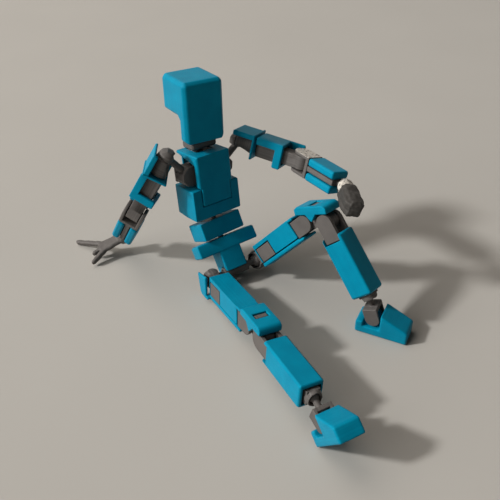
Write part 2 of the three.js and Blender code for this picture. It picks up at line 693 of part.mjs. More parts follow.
// Fist: wrist cup on a chamfered block with finger grooves
function addFist(group, side) {
  const cup = WRIST_BALL + GAP + SOCKET_WALL;
  const low = -cup - FIST_LENGTH + EDGE;
  const shoulder = -cup - EDGE;
  const half = FIST_DEPTH / 2;
  const middle = (low + shoulder) / 2;
  const fist = extrude(outline([
    [-HAND_ROOT, -CLIP], [HAND_ROOT, -CLIP], [half, shoulder], [half, low + CLIP],
    [half - CLIP, low], [CLIP - half, low], [-half, low + 2 * CLIP], [-half, shoulder],
  ]), FIST_WIDTH, 'x', ORIGIN, CLIP);
  const grooves = [-1, 0, 1].map((i) => box(
    [-CUT, -half - CLIP, middle + i * FINGER - GAP / 2], [CUT, GAP - half, middle + i * FINGER + GAP / 2]));
  const hand = fist.add(ball(cup))
    .subtract(joined(grooves))
    .subtract(socket(WRIST_BALL, WRIST_OPENING, FIST_MOUTH));
  piece(group, `hand_${sideName(side)}`, hand, GREY, side);
}

// Hip link: axle peg in the pelvis tube and ball in the thigh
function addHipLink(group, side) {
  const inner = 2 * PIN_RELIEF - HIP_SPACING / 2;
  const link = bar(PIN, inner, 0, 'x').add(ball(HIP_BALL));
  piece(group, `hip_link_${sideName(side)}`, link, GREY, side);
}

// Thigh: domed socket, shaft with square bosses and the knee fork, under two teal shells
const THIGH_END = THIGH_LENGTH - KNEE_CLEAR;
const THIGH_SHELL = THIGH_END - THIGH_START;
const KNEE_OUTER = KNEE_TONGUE / 2 + GAP + CHEEK;

// The part of the back shell that reaches up over the outer side of the hip ball
function hipCover(inner) {
  const back = THIGH_DEPTH / 2;
  const low = -THIGH_START - CLIP;
  const outer = inner + SHELL;
  const plate = extrude(outline([
    [-inner, -THIGH_START + GAP], [-inner + CLIP, HIP_COVER_FRONT], [back - CLIP, -HIP_COVER_BACK],
    [back, -HIP_COVER_BACK - CLIP], [back, -THIGH_START + GAP],
  ]), SHELL, 'x', [inner + SHELL / 2, 0, 0], GAP);
  return plate.add(block([0, back - CLIP, low], [outer, back, -THIGH_START + CLIP], GAP));
}

function addThigh(group, side) {
  const dome = HIP_BALL + GAP + SOCKET_WALL;
  const neck = -THIGH_START + GAP;
  const shaftX = SHAFT_WIDTH / 2;
  const shaftY = SHAFT_DEPTH / 2;
  const halfX = THIGH_WIDTH / 2;
  const halfY = THIGH_DEPTH / 2;
  const bossTop = -THIGH_START - WINDOW_START;
  const bossLow = bossTop - WINDOW_LENGTH;
  const bossFront = -SPLIT_BACK;
  const webTop = -THIGH_END - GAP;
  const cheeks = fork(KNEE_CHEEK, THIGH_LENGTH + webTop, KNEE_TONGUE, true, -THIGH_LENGTH);
  const frame = ball(dome)
    .add(box([-shaftX, -shaftY, neck], [shaftX, shaftY, 0]))
    .subtract(socket(HIP_BALL, HIP_OPENING, [-1, 0, 0]))
    .add(box([-shaftX, -shaftY, webTop - WEB], [shaftX, shaftY, -dome + SOCKET_WALL]))
    .add(box([-halfX, bossFront, bossLow], [halfX, SPLIT_BACK, bossTop]))
    .add(cheeks)
    .add(box([-KNEE_OUTER, -KNEE_CHEEK, webTop - WEB], [KNEE_OUTER, KNEE_CHEEK, webTop]));
  piece(group, `thigh_frame_${sideName(side)}`, frame, GREY, side);

  const middle = -THIGH_START - THIGH_SHELL / 2;
  const roomX = shaftX + GAP;
  const roomY = shaftY + GAP;
  const lipLow = -THIGH_END - THIGH_LIP;
  const lipInner = KNEE_CHEEK + GAP;
  const front = extrude(outline([
    [-halfX, -halfY], [halfX, -halfY], [halfX, SPLIT_BACK], [roomX, SPLIT_BACK],
    [roomX, -roomY], [-roomX, -roomY], [-roomX, SPLIT_BACK], [-halfX, SPLIT_BACK],
  ]), THIGH_SHELL, 'z', [0, 0, middle], GAP)
    .add(block([-halfX, -halfY, lipLow], [halfX, -lipInner, EDGE - THIGH_END], GAP))
    .subtract(box([-CUT, bossFront - GAP, bossLow - GAP], [CUT, CUT, bossTop + GAP]));
  piece(group, `thigh_shell_front_${sideName(side)}`, front, TEAL, side);

  const back = block([-halfX, SPLIT_BACK + GAP, -THIGH_END], [halfX, halfY, -THIGH_START], GAP)
    .add(block([-halfX, lipInner, lipLow], [halfX, halfY, EDGE - THIGH_END], GAP))
    .add(hipCover(dome + GAP));
  piece(group, `thigh_shell_back_${sideName(side)}`, back, TEAL, side);
}

// Knee: grey double barrel with a boss, and the teal cap that the boss shows through
function addKnee(group, side) {
  const half = KNEE_TONGUE / 2;
  const middle = -KNEE_LINK / 2;
  const back = KNEE_CHEEK + GAP;
  const front = back + KNEECAP_THICKNESS;
  const lower = [0, 0, -KNEE_LINK];
  const slotX = SLOT_WIDTH / 2;
  const slotZ = SLOT_HEIGHT / 2;
  const link = bar(KNEE_BARREL, -half, half, 'x')
    .add(bar(KNEE_BARREL, -half, half, 'x', lower))
    .add(box([-half, -KNEE_WEB, -KNEE_LINK], [half, KNEE_WEB, 0]))
    .subtract(pinBore(CUT))
    .subtract(pinBore(CUT, lower))
    .add(box([-slotX, GAP - front, middle - slotZ], [slotX, 0, middle + slotZ]));
  piece(group, `knee_link_${sideName(side)}`, link, GREY, side);

  const top = middle + KNEECAP_LENGTH / 2;
  const low = middle - KNEECAP_LENGTH / 2;
  const rim = KNEECAP_SLOPE - front;
  const cap = extrude(outline([
    [-back, top], [rim, top], [-front, top - KNEECAP_RUN],
    [-front, low + KNEECAP_RUN], [rim, low], [-back, low],
  ]), KNEECAP_WIDTH, 'x', ORIGIN, GAP);
  const lugWidth = (KNEECAP_WIDTH - KNEE_TONGUE) / 2 - GAP;
  const lugs = [LEFT, RIGHT].map((end) => extrude(
    outline([[-back - EDGE, middle + LUG_HALF], [-back - EDGE, middle - LUG_HALF], [-LUG_POINT, middle]]),
    lugWidth, 'x', [end * (KNEECAP_WIDTH - lugWidth) / 2, 0, 0]));
  const slot = box([-slotX - GAP, -CUT, middle - slotZ - GAP], [slotX + GAP, CUT, middle + slotZ + GAP]);
  piece(group, `kneecap_${sideName(side)}`, cap.add(joined(lugs)).subtract(slot), TEAL, side);
}

// Shin: knee cheeks, shaft and ankle socket inside a teal sleeve notched for the cheeks
function addShin(group, side) {
  const shaftX = SHAFT_WIDTH / 2;
  const shaftY = SHAFT_DEPTH / 2;
  const cup = ANKLE_BALL + GAP + SOCKET_WALL;
  const ankle = [0, 0, -SHIN_BALL_DROP];
  const frame = fork(KNEE_CHEEK, SHIN_CHEEK_TAIL, KNEE_TONGUE, false)
    .add(box([-KNEE_OUTER, -shaftY, -SHIN_CHEEK_TAIL], [KNEE_OUTER, shaftY, WEB - SHIN_CHEEK_TAIL]))
    .add(box([-shaftX, -shaftY, -SHIN_BALL_DROP], [shaftX, shaftY, WEB - SHIN_CHEEK_TAIL]))
    .add(ball(cup, ankle))
    .subtract(socket(ANKLE_BALL, ANKLE_OPENING, [0, 0, -1], ankle));
  piece(group, `shin_frame_${sideName(side)}`, frame, GREY, side);

  const end = SHIN_BALL_DROP - ANKLE_CLEAR;
  const room = cup + GAP;
  const notch = KNEE_CHEEK + GAP;
  const halfX = SHIN_WIDTH / 2;
  const halfY = SHIN_DEPTH / 2;
  const sleeve = block([-halfX, -halfY, -end], [halfX, halfY, -SHIN_START])
    .subtract(box([-room, -room, -CUT], [room, room, CUT]))
    .subtract(box([-CUT, -notch, -SHIN_CHEEK_TAIL - GAP], [CUT, notch, CUT]));
  piece(group, `shin_shell_${sideName(side)}`, sleeve, TEAL, side);
}

// Ankle link: ball in the shin, D fork over the foot's tongue
function addAnkleLink(group, side) {
  const outer = ANKLE_TONGUE / 2 + GAP + CHEEK;
  const tail = ANKLE_BARREL + EDGE + WEB;
  const link = ball(ANKLE_BALL)
    .add(bar(THIN_ROD, tail - WEB / 2 - ANKLE_LINK, 0, 'z'))
    .add(box([-outer, -ANKLE_CHEEK, tail - WEB - ANKLE_LINK], [outer, ANKLE_CHEEK, tail - ANKLE_LINK]))
    .add(fork(ANKLE_CHEEK, tail, ANKLE_TONGUE, true, -ANKLE_LINK));
  piece(group, `ankle_link_${sideName(side)}`, link, GREY, side);
}

// Foot: flat sole, wedge toe, low heel wall and a cross slot with the tongue standing in it
function addFoot(group, side) {
  const sole = -ANKLE_HEIGHT;
  const slotHalf = ANKLE_CHEEK + GAP;
  const slotFloor = -ANKLE_CHEEK - GAP;
  const toe = HEEL_BACK - FOOT_LENGTH;
  const half = ANKLE_TONGUE / 2;
  const wedge = extrude(outline([
    [HEEL_BACK, sole], [HEEL_BACK, sole + HEEL_HEIGHT - EDGE], [HEEL_BACK - EDGE, sole + HEEL_HEIGHT],
    [slotHalf, sole + HEEL_HEIGHT], [slotHalf, slotFloor], [-slotHalf, slotFloor],
    [-slotHalf, sole + FOOT_HEIGHT],
    [toe + EDGE, sole + TOE_HEIGHT + EDGE], [toe, sole + TOE_HEIGHT], [toe, sole],
  ]), FOOT_WIDTH, 'x', ORIGIN, GAP);
  const neck = ANKLE_BARREL * TONGUE_NECK;
  const tongue = box([-half, -neck, slotFloor - EDGE], [half, neck, 0])
    .add(bar(ANKLE_BARREL, -half, half, 'x'));
  piece(group, `foot_${sideName(side)}`, wedge.add(tongue).subtract(pinBore(CUT)), TEAL, side);
}

// Assembly
function addArm(chest, side) {
  const pose = ARM_POSE[side];
  const name = sideName(side);
  const link = segment(chest, `shoulder_${name}`, [SHOULDER_X, 0, SHOULDER_Z], [0, -pose.raise, 0], side);
  addShoulderLink(link, side);
  const level = segment(link, `shoulder_level_${name}`, [SHOULDER_REACH, 0, 0], [0, pose.raise, 0], side);
  const top = segment(level, `arm_${name}`, ORIGIN, pose.top, side);
  addArmTop(top, side);
  const bicep = segment(top, `bicep_${name}`, [0, 0, -SWIVEL_DROP], [0, 0, pose.swivel], side);
  addBicep(bicep, side);
  const forearm = segment(bicep, `forearm_${name}`, [0, 0, ELBOW_Z], [pose.elbow, 0, 0], side);
  addForearm(forearm, side);
  const hand = segment(forearm, `wrist_${name}`, [0, 0, -WRIST_DROP], pose.hand, side);
  if (side === LEFT) {
    addFist(hand, side);
  } else {
    addOpenHand(hand, side);
  }
}

// Turns the left ankle so that the foot below it stands level
function plant(ankle, shin, pitch) {
  figure.updateMatrixWorld(true);
  const yaw = new THREE.Quaternion().setFromAxisAngle(
    new THREE.Vector3(0, 0, 1), THREE.MathUtils.degToRad(PLANTED_YAW));
  const lean = new THREE.Quaternion().setFromAxisAngle(
    new THREE.Vector3(1, 0, 0), THREE.MathUtils.degToRad(-pitch));
  const upper = shin.getWorldQuaternion(new THREE.Quaternion()).invert();
  ankle.quaternion.copy(upper.multiply(yaw).multiply(lean));
}

function addLeg(pelvis, side) {
  const pose = LEG_POSE[side];
  const name = sideName(side);
  const hip = segment(pelvis, `hip_${name}`, [HIP_SPACING / 2, -HIP_FORWARD, -HIP_DROP], ORIGIN, side);
  addHipLink(hip, side);
  const thigh = segment(hip, `thigh_${name}`, ORIGIN, pose.thigh, side);
  addThigh(thigh, side);
  const knee = segment(thigh, `knee_${name}`, [0, 0, -THIGH_LENGTH], [pose.knee, 0, 0], side);
  addKnee(knee, side);
  const shin = segment(knee, `shin_${name}`, [0, 0, -KNEE_LINK], [pose.shin, 0, 0], side);
  addShin(shin, side);
  const ankle = segment(shin, `ankle_${name}`, [0, 0, -SHIN_BALL_DROP], pose.ankle, side);
  addAnkleLink(ankle, side);
  if (side === LEFT) {
    plant(ankle, shin, pose.foot);
  }
  const sole = segment(ankle, `sole_${name}`, [0, 0, -ANKLE_LINK], [pose.foot, 0, 0], side);
  addFoot(sole, side);
}

const figure = new THREE.Group();
const pelvis = segment(figure, 'pelvis', ORIGIN, POSE.pelvis);
addPelvis(pelvis);
const waist = segment(pelvis, 'waist', ORIGIN, POSE.waist);
addWaistLink(waist);
const abdomen = segment(waist, 'abdomen', [0, 0, WAIST_RISE], POSE.abdomen);
addAbdomen(abdomen);
const chest = segment(abdomen, 'chest', [0, 0, CHEST_RISE], POSE.chest);
addChest(chest);
const neck = segment(chest, 'neck', [0, NECK_BACK, NECK_RISE], POSE.neck);
addNeck(neck);
const head = segment(neck, 'head', [0, 0, HEAD_RISE], POSE.head);
addHead(head);
for (const side of [LEFT, RIGHT]) {
  addArm(chest, side);
  addLeg(pelvis, side);
}

// The origin is the middle of the footprint, on the floor
const bounds = new THREE.Box3().setFromObject(figure, true);
const centre = bounds.getCenter(new THREE.Vector3());
figure.position.set(-centre.x, -centre.y, -bounds.min.z);
figure.updateMatrixWorld(true);

export default figure;
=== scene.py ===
import json
import math

import bmesh
import bpy
from mathutils import Matrix, Vector, noise


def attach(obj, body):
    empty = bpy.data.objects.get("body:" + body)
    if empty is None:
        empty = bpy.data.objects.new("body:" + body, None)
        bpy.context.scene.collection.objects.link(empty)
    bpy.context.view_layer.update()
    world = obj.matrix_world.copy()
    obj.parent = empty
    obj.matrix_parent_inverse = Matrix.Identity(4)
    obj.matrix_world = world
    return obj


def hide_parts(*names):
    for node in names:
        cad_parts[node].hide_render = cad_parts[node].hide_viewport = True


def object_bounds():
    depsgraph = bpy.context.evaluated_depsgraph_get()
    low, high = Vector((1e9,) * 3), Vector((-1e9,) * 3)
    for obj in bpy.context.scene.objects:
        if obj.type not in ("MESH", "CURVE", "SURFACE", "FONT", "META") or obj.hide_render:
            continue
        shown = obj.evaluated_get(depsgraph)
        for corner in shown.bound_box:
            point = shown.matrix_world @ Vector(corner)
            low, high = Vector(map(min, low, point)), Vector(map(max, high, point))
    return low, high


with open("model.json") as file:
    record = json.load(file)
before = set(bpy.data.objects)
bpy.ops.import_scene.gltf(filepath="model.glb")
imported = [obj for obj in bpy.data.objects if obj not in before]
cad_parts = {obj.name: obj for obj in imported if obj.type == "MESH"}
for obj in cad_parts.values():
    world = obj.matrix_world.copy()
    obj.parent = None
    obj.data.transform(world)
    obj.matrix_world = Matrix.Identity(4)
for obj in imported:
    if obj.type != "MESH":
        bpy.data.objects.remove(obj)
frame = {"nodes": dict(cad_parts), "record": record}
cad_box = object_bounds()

# Lengths are in millimetres and angles in degrees, unless a comment says otherwise
MM = 0.001

# The photograph's camera, in the part's own frame
CAMERA_PLACE = (-77.18, -135.59, 142.92)
CAMERA_HEADING = -29.294
CAMERA_PITCH = 37.33
CAMERA_ROLL = -0.46
CAMERA_LENS = 48.85
CAMERA_SENSOR = 36.0
CAMERA_NEAR = 5.0
CAMERA_FAR = 20000.0

# A low key light from the figure's right, soft panels beside it and overhead, and a dim sky
KEY_FROM = (-0.787, 0.260, 0.559)
KEY_STRENGTH = 2.38
KEY_ANGLE = 6.0
KEY_COLOUR = (1.0, 0.995, 0.985)
PANELS = {
    "side_panel": ((-0.91, 0.12, 0.40), 9.6, (1.0, 0.985, 0.96)),
    "top_panel": ((-0.22, 0.50, 0.84), 6.5, (1.0, 0.93, 0.86)),
}
PANEL_DISTANCE = 1300.0
PANEL_SIZE = 1100.0
SKY_COLOUR = (1.0, 0.93, 0.86)
SKY_STRENGTH = 0.035

# A wide sheet of pale paper just below the part
FLOOR_SIZE = 6000.0
FLOOR_DROP = 0.05
FLOOR_COLOUR = (0.485, 0.462, 0.425)
FLOOR_VARIATION = 0.03
FLOOR_ROUGHNESS = 0.95

# Two printed plastics, and the grey darkened with painted shade for the fist, colours in linear light
TEAL = (0.001, 0.255, 0.395)
TEAL_DEEP = (0.001, 0.205, 0.330)
TEAL_PALE = (0.015, 0.345, 0.480)
GREY = (0.138, 0.126, 0.118)
GREY_DEEP = (0.092, 0.083, 0.078)
GREY_PALE = (0.230, 0.213, 0.200)
# The fist's grey is the same plastic, darkened to paint the shade it sat in
FIST_PAINTED_SHADE = (0.070, 0.065, 0.060)
FIST_DEEP_PAINTED_SHADE = (0.040, 0.037, 0.034)
FIST_PALE_PAINTED_SHADE = (0.125, 0.117, 0.108)
SCAR = (0.66, 0.61, 0.54)
TEAL_SHEEN = (0.15, 0.80, 1.0)
GREY_SHEEN = (1.0, 0.98, 0.95)
SPECULAR = 0.2

# Finishes: tones, roughness, strength of the print lines, tint of the sheen, whether there are scars
FINISHES = {
    "teal_plastic": ((TEAL, TEAL_DEEP, TEAL_PALE), 0.46, 0.25, TEAL_SHEEN, False),
    "grey_plastic": ((GREY, GREY_DEEP, GREY_PALE), 0.50, 0.70, GREY_SHEEN, False),
    "grey_scarred": ((GREY, GREY_DEEP, GREY_PALE), 0.50, 0.70, GREY_SHEEN, True),
    # The fist takes the grey with painted shade
    "grey_painted_shade_fist": ((FIST_PAINTED_SHADE, FIST_DEEP_PAINTED_SHADE, FIST_PALE_PAINTED_SHADE), 0.55, 0.40, GREY_SHEEN, True),
}

# Noises: their middle value, the size of their spots and how much finer detail they have
NOISE_MIDDLE = 0.5
CLOUD = (4.0, 4.0)
GRAIN = (0.16, 1.0)
BANDS = (0.55, 1.0)
SCAR_SPOTS = (0.75, 5.0, 0.7)
FLOOR_CLOUD = (55.0, 3.0)
FLOOR_FIBRE = (0.6, 2.0)

# Tone: the cloud's share, and its range, a fixed part and a part that grows with the print lines
CLOUD_SHARE = 0.5
TONE_LOW = (0.15, 0.2)
TONE_HIGH = (0.45, 0.6)

# Paler corners: from which corner and which cloud to which, and how strong it is at most
PALE_CORNER = (0.02, 0.22)
PALE_CLOUD = (0.35, 0.65)
PALE_MOST = 0.75
EDGE_RADIUS = 0.30
EDGE_SAMPLES = 6

# Surface: layer height, shares of ripple and grain, and each bump's strength and depth
LAYER = 0.2
RIPPLE_SHARE = 0.35
GRAIN_SHARE = 0.5
GRAIN_ROUGHNESS = 0.12
PLASTIC_BUMP = (0.35, 0.03)
FLOOR_BUMP = (0.15, 0.02)

# Scars: where a spot starts and is full, and what it does to colour, gloss and height
SCAR_RANGE = (0.38, 0.52)
SCAR_MOST = 0.92
SCAR_GLOSS = 0.22
SCAR_HEIGHT = 3.0

# Pieces with support scars: the joint they are near, how far they reach, how upward the side is
SCARRED = {
    "forearm_frame_left": ("elbow_left", 6.0, 0.6),
    "hand_left": ("wrist_left", 3.6, 0.1),
}

# Rounded edges: how much comes off, in how many steps, the shortest edge and the least corner
ROUND = 0.22
ROUND_HEAD = 0.42
ROUND_STEPS = 3
ROUND_PROFILE = 0.5
ROUND_LEAST = 0.5
ROUND_CORNER = 28.0

# Softened pieces: how often they are smoothed, then the width and height of lumps, coarse and fine
SOFTENED = {
    "hand_left": (3, (2.2, 0.38), (0.9, 0.12)),
    "hand_right": (3, (1.6, 0.12), (0.7, 0.06)),
    "foot_left": (9,),
    "foot_right": (9,),
}
SOFT_MESH = 0.22

# Lumps start this far from the piece's joint, and are full after this much more
LUMP_START = 2.3
LUMP_FADE = 1.2

# The hip plank's added front: its height, how it starts inside the block, its reach and its edge
PLANK_HEIGHT = 4.3
PLANK_INNER = 3.9
PLANK_WALL = 0.8
PLANK_PROUD = 0.15
PLANK_EDGE = 0.4

# Points closer than this are one point, and sides flatter than this are one side
WELD = 0.003
FLAT_ANGLE = 0.4

# Corners sharper than this stay sharp, and large sides lead the shading by this weight
SMOOTH_ANGLE = 50.0
SIDE_WEIGHT = 80

# Normals whose product is above this face the same way
SAME_WAY = 0.999


def rotation_of_camera():
    heading = Matrix.Rotation(math.radians(CAMERA_HEADING), 3, "Z")
    pitch = math.radians(CAMERA_PITCH)
    roll = math.radians(CAMERA_ROLL)
    forward = Vector((0, math.cos(pitch), -math.sin(pitch)))
    side = Vector((1, 0, 0))
    above = side.cross(forward)
    right = side * math.cos(roll) + above * math.sin(roll)
    up = above * math.cos(roll) - side * math.sin(roll)
    columns = [heading @ right, heading @ up, heading @ -forward]
    return Matrix(columns).transposed()


def add_camera():
    data = bpy.data.cameras.new("camera")
    data.lens = CAMERA_LENS
    data.sensor_width = CAMERA_SENSOR
    data.clip_start = CAMERA_NEAR * MM
    data.clip_end = CAMERA_FAR * MM
    camera = bpy.data.objects.new("camera", data)
    bpy.context.collection.objects.link(camera)
    place = Matrix.Translation(Vector(CAMERA_PLACE) * MM)
    camera.matrix_world = place @ rotation_of_camera().to_4x4()
    bpy.context.scene.camera = camera


class Nodes:
    """The node tree of a material or a world, with short calls for the nodes used here."""

    def __init__(self, owner):
        owner.use_nodes = True
        self.tree = owner.node_tree

    def put(self, socket, value):
        """Links a socket to another one, or sets its number or colour."""
        if isinstance(value, bpy.types.NodeSocket):
            self.tree.links.new(value, socket)
        else:
            socket.default_value = value

    def add(self, kind, **options):
        node = self.tree.nodes.new(kind)
        for key, value in options.items():
            setattr(node, key, value)
        return node

    def math(self, operation, *values):
        node = self.add("ShaderNodeMath", operation=operation)
        for socket, value in zip(node.inputs, values):
            self.put(socket, value)
        return node.outputs[0]

    def mix(self, amount, first, second):
        node = self.add("ShaderNodeMix", data_type="RGBA")
        self.put(node.inputs["Factor"], amount)
        for name, value in (("A", first), ("B", second)):
            socket = next(s for s in node.inputs if s.name == name and s.type == "RGBA")
            self.put(socket, value if isinstance(value, bpy.types.NodeSocket) else (*value, 1.0))
        return next(s for s in node.outputs if s.type == "RGBA")

    def place(self):
        """Position on the piece in millimetres, moving with the piece."""
        node = self.add("ShaderNodeVectorMath", operation="SCALE")
        self.put(node.inputs[0], self.add("ShaderNodeTexCoord").outputs["Object"])
        node.inputs["Scale"].default_value = 1.0 / MM
        return node.outputs[0]

    def noise(self, place, size, detail, rough=0.5):
        """Cloudy noise from 0 to 1, with spots about size millimetres across."""
        node = self.add("ShaderNodeTexNoise")
        self.put(node.inputs["Vector"], place)
        node.inputs["Scale"].default_value = 1.0 / size
        node.inputs["Detail"].default_value = detail
        node.inputs["Roughness"].default_value = rough
        return node.outputs["Fac"]

    def noise_along(self, value, size, detail):
        """Noise that changes along one number only, for whole printed layers."""
        node = self.add("ShaderNodeTexNoise", noise_dimensions="1D")
        self.put(node.inputs["W"], value)
        node.inputs["Scale"].default_value = 1.0 / size
        node.inputs["Detail"].default_value = detail
        return node.outputs["Fac"]

    def ramp(self, value, low, high):
        """0 below low, 1 above high, smooth between them."""
        node = self.add("ShaderNodeMapRange", interpolation_type="SMOOTHSTEP")
        self.put(node.inputs["Value"], value)
        node.inputs["From Min"].default_value = low
        node.inputs["From Max"].default_value = high
        return node.outputs[0]

    def attribute(self, name):
        return self.add("ShaderNodeAttribute", attribute_name=name).outputs["Fac"]

    def bump(self, height, strength, depth, normal=None):
        node = self.add("ShaderNodeBump")
        node.inputs["Strength"].default_value = strength
        node.inputs["Distance"].default_value = depth * MM
        self.put(node.inputs["Height"], height)
        if normal is not None:
            self.put(node.inputs["Normal"], normal)
        return node.outputs["Normal"]

    def rounded(self, radius):
        """The normal with corners rounded, and how close the spot is to a corner."""
        normal = self.add("ShaderNodeBevel", samples=EDGE_SAMPLES)
        normal.inputs["Radius"].default_value = radius * MM
        dot = self.add("ShaderNodeVectorMath", operation="DOT_PRODUCT")
        self.put(dot.inputs[0], normal.outputs[0])
        self.put(dot.inputs[1], self.add("ShaderNodeNewGeometry").outputs["Normal"])
        return normal.outputs[0], self.math("SUBTRACT", 1.0, dot.outputs["Value"])


def add_lamp(name, kind, direction, energy, colour):
    """A lamp that shines on the origin from a direction."""
    data = bpy.data.lights.new(name, kind)
    data.energy = energy
    data.color = colour
    lamp = bpy.data.objects.new(name, data)
    lamp.rotation_euler = Vector(direction).to_track_quat("Z", "Y").to_euler()
    lamp.location = Vector(direction).normalized() * PANEL_DISTANCE * MM
    bpy.context.collection.objects.link(lamp)
    return data


def add_lights():
    key = add_lamp("key", "SUN", KEY_FROM, KEY_STRENGTH, KEY_COLOUR)
    key.angle = math.radians(KEY_ANGLE)
    for name, (direction, power, colour) in PANELS.items():
        panel = add_lamp(name, "AREA", direction, power, colour)
        panel.size = PANEL_SIZE * MM


def add_world():
    """A dim sky that lights the part, and a pale backdrop that is seen and mirrored."""
    world = bpy.data.worlds.new("sky")
    n = Nodes(world)
    sky = n.tree.nodes["Background"]
    sky.inputs["Color"].default_value = (*SKY_COLOUR, 1.0)
    sky.inputs["Strength"].default_value = SKY_STRENGTH
    backdrop = n.add("ShaderNodeBackground")
    backdrop.inputs["Color"].default_value = (*FLOOR_COLOUR, 1.0)
    path = n.add("ShaderNodeLightPath").outputs
    seen = path["Is Camera Ray"]
    for ray in ("Is Glossy Ray", "Is Transmission Ray"):
        seen = n.math("MAXIMUM", seen, path[ray])
    either = n.add("ShaderNodeMixShader")
    for socket, value in zip(either.inputs, (seen, sky.outputs[0], backdrop.outputs[0])):
        n.put(socket, value)
    n.put(n.tree.nodes["World Output"].inputs["Surface"], either.outputs[0])
    bpy.context.scene.world = world


def printed_plastic(name, tones, rough, lines, sheen, scarred):
    """Printed plastic: layer lines, cloudy tone, paler corners, tinted sheen, and scars if asked."""
    base, deep, pale_tone = tones
    material = bpy.data.materials.new(name)
    n = Nodes(material)
    place = n.place()
    layer = n.attribute("layer")
    ripple = n.math("SINE", n.math("MULTIPLY", layer, 2 * math.pi / LAYER))
    bands = n.noise_along(layer, *BANDS)
    cloud = n.noise(place, *CLOUD)
    grain = n.noise(place, *GRAIN)
    normal, corner = n.rounded(EDGE_RADIUS)

    tone = n.math("ADD", n.math("MULTIPLY", bands, lines), n.math("MULTIPLY", cloud, CLOUD_SHARE))
    low, high = (fixed + growing * lines for fixed, growing in (TONE_LOW, TONE_HIGH))
    colour = n.mix(n.ramp(tone, low, high), deep, base)
    # A paler tone near the corners, in cloudy patches
    paling = n.math("MULTIPLY", n.ramp(corner, *PALE_CORNER), n.ramp(cloud, *PALE_CLOUD))
    colour = n.mix(n.math("MULTIPLY", paling, PALE_MOST), colour, pale_tone)
    uneven = n.math("MULTIPLY", n.math("SUBTRACT", grain, NOISE_MIDDLE), GRAIN_ROUGHNESS)
    roughness = n.math("ADD", rough, uneven)
    ridges = n.math("MULTIPLY", ripple, RIPPLE_SHARE)
    height = n.math("ADD", ridges, n.math("MULTIPLY", grain, GRAIN_SHARE))
    if scarred:
        spots = n.ramp(n.noise(place, *SCAR_SPOTS), *SCAR_RANGE)
        scar = n.math("MULTIPLY", n.attribute("scar"), spots)
        colour = n.mix(n.math("MULTIPLY", scar, SCAR_MOST), colour, SCAR)
        roughness = n.math("SUBTRACT", roughness, n.math("MULTIPLY", scar, SCAR_GLOSS))
        height = n.math("ADD", height, n.math("MULTIPLY", scar, SCAR_HEIGHT))

    shader = n.tree.nodes["Principled BSDF"].inputs
    n.put(shader["Base Color"], colour)
    n.put(shader["Roughness"], roughness)
    n.put(shader["Normal"], n.bump(height, *PLASTIC_BUMP, normal))
    shader["Specular IOR Level"].default_value = SPECULAR
    shader["Specular Tint"].default_value = (*sheen, 1.0)
    return material


def floor_paper():
    """Matt pale paper, a little uneven in tone and surface."""
    material = bpy.data.materials.new("floor_paper")
    n = Nodes(material)
    place = n.place()
    darker = [c * (1 - FLOOR_VARIATION) for c in FLOOR_COLOUR]
    lighter = [c * (1 + FLOOR_VARIATION) for c in FLOOR_COLOUR]
    shader = n.tree.nodes["Principled BSDF"].inputs
    n.put(shader["Base Color"], n.mix(n.noise(place, *FLOOR_CLOUD), darker, lighter))
    n.put(shader["Normal"], n.bump(n.noise(place, *FLOOR_FIBRE), *FLOOR_BUMP))
    shader["Roughness"].default_value = FLOOR_ROUGHNESS
    shader["Specular IOR Level"].default_value = 0.0
    return material


def add_floor():
    mesh = bpy.data.meshes.new("floor")
    half = FLOOR_SIZE / 2 * MM
    corners = [(-half, -half, 0), (half, -half, 0), (half, half, 0), (-half, half, 0)]
    mesh.from_pydata(corners, [], [(0, 1, 2, 3)])
    mesh.materials.append(floor_paper())
    floor = bpy.data.objects.new("floor", mesh)
    bpy.context.collection.objects.link(floor)
    floor.location.z = cad_box[0].z - FLOOR_DROP * MM


def print_axis(mesh):
    """The direction a piece was printed along: square to its largest flat side."""
    sides = []
    for face in mesh.polygons:
        for side in sides:
            if abs(side[0].dot(face.normal)) > SAME_WAY:
                side[1] += face.area
                break
        else:
            sides.append([face.normal.copy(), face.area])
    return max(sides, key=lambda side: side[1])[0]


def mark_scars(mesh, joint, reach, least):
    """Marks the upward sides near a joint, where print supports were broken off."""
    scar = mesh.attributes.new("scar", "FLOAT", "FACE")
    centre = Vector(joints[joint]["pos_m"])
    marks = []
    for face in mesh.polygons:
        away = face.center - centre
        marked = face.normal.z > least and away.z > 0 and away.length < reach * MM
        marks.append(1.0 if marked else 0.0)
    scar.data.foreach_set("value", marks)


def applied(mesh, kind, **options):
    """A new mesh: the given one with one modifier applied."""
    holder = bpy.data.objects.new("holder", mesh)
    bpy.context.collection.objects.link(holder)
    modifier = holder.modifiers.new("change", kind)
    for key, value in options.items():
        setattr(modifier, key, value)
    final = holder.evaluated_get(bpy.context.evaluated_depsgraph_get())
    result = bpy.data.meshes.new_from_object(final)
    bpy.data.objects.remove(holder)
    return result


def pelvis_frame():
    """The pelvis's own axes at rest: x to its left, y to its front, z up its spine."""
    waist, left, right = (joints[name] for name in ("waist_turn", "hip_turn_left", "hip_turn_right"))
    side = (Vector(left["pos_m"]) - Vector(right["pos_m"])).normalized()
    up = Vector(waist["axis"]).normalized()
    front = side.cross(up)
    turn = Matrix((side, front, up)).transposed().to_4x4()
    return Matrix.Translation(Vector(waist["pos_m"])) @ turn


